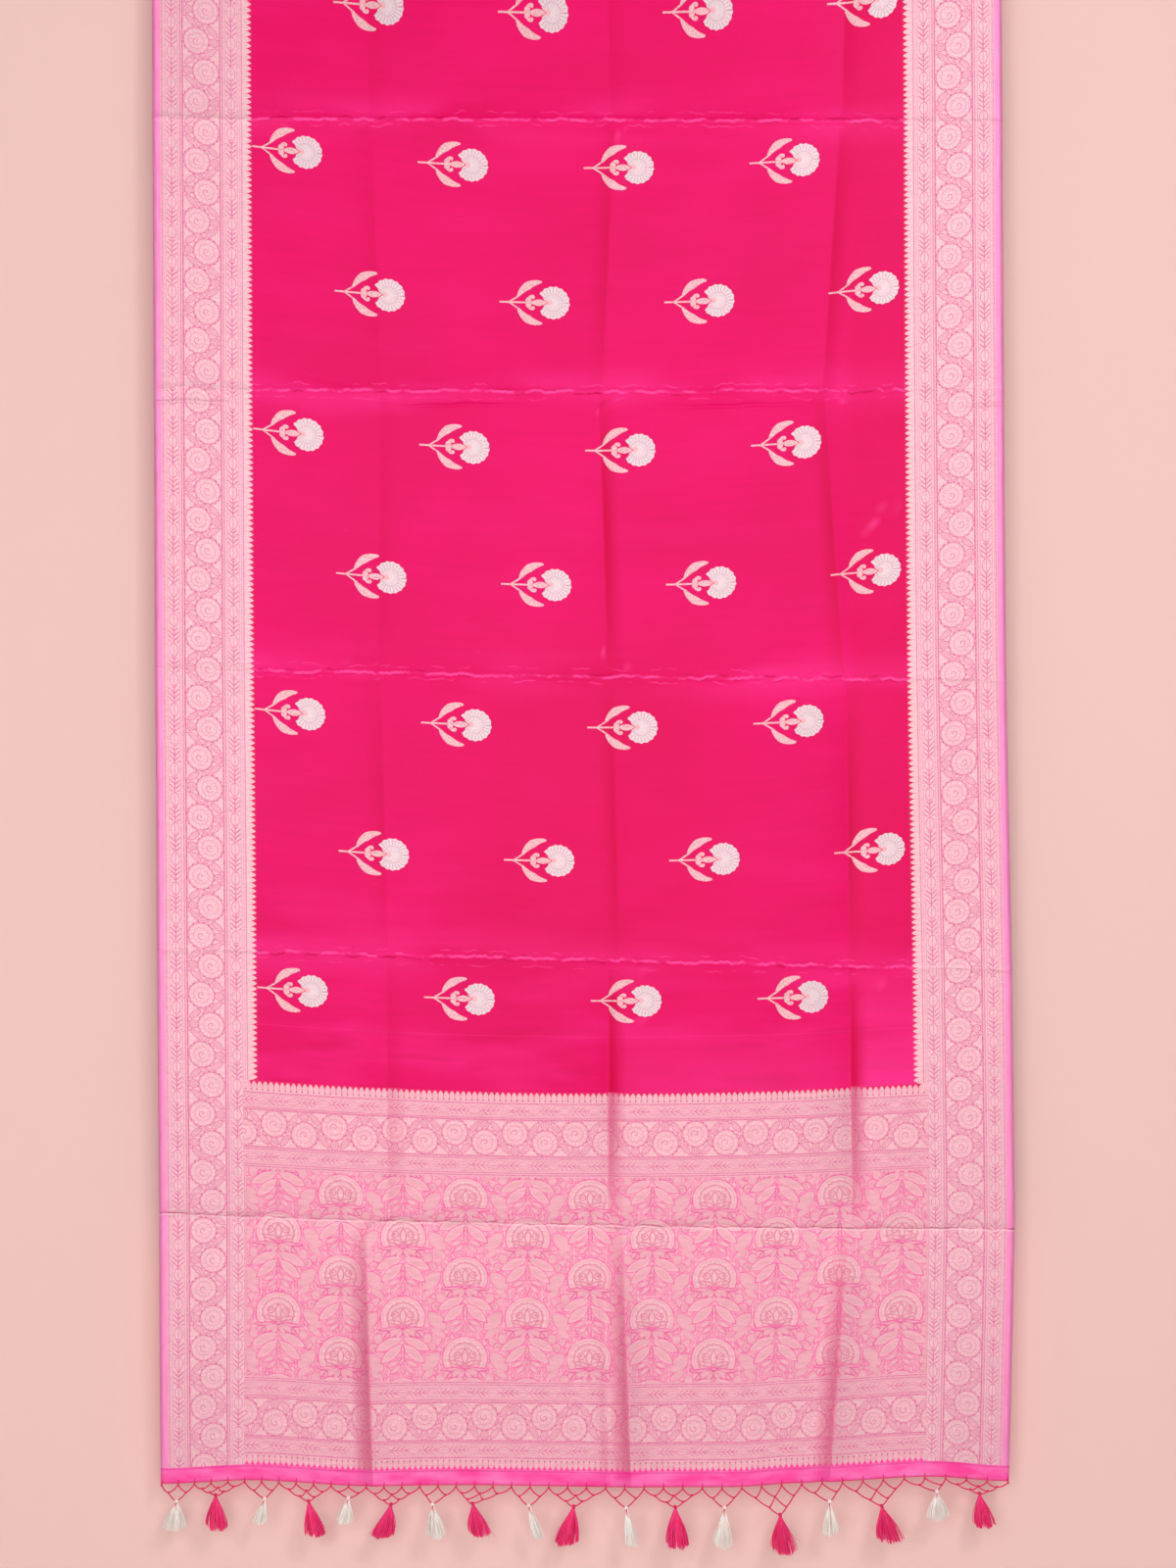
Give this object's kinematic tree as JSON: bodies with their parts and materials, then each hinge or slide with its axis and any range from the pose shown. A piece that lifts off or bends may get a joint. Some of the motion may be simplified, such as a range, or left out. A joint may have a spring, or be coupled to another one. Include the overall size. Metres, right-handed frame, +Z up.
{
  "type": "sari hung over a rod",
  "caption": "Silk sari hung over a plain round rod: pink field with woven flower sprigs, brocade side borders and pallu, and a netted fringe of white and pink tassels.",
  "frame": {"origin": "middle of the rod's axis, where the rod holds the cloth", "axes": "+Z up, +X along the rod to the viewer's right, the front of the sari faces -Y"},
  "size_m": [1.3, 0.0566, 2.3166],
  "materials": {
    "rod": "satin, plain turned wood",
    "sari_front": "silk satin with brocade in pale metallic thread",
    "hem_band": "plain magenta silk",
    "sari_back": "silk satin with brocade borders",
    "sari_inner": "silk satin",
    "sari_end": "silk satin",
    "tassel_white": "loose silk floss",
    "tassel_pink": "loose silk floss"
  },
  "bodies": {
    "root": {"rod": "rod", "front_fall": "sari_front", "pallu_hem": "hem_band", "back_fall": "sari_back", "inner_fall": "sari_inner", "free_end": "sari_end", "tassel_01": "tassel_white", "tassel_02": "tassel_pink", "tassel_03": "tassel_white", "tassel_04": "tassel_pink", "tassel_05": "tassel_white", "tassel_06": "tassel_pink", "tassel_07": "tassel_white", "tassel_08": "tassel_pink", "tassel_09": "tassel_white", "tassel_10": "tassel_pink", "tassel_11": "tassel_white", "tassel_12": "tassel_pink", "tassel_13": "tassel_white", "tassel_14": "tassel_pink", "tassel_15": "tassel_white", "tassel_16": "tassel_pink", "tassel_17": "tassel_white", "tassel_18": "tassel_pink"}
  },
  "joints": []
}
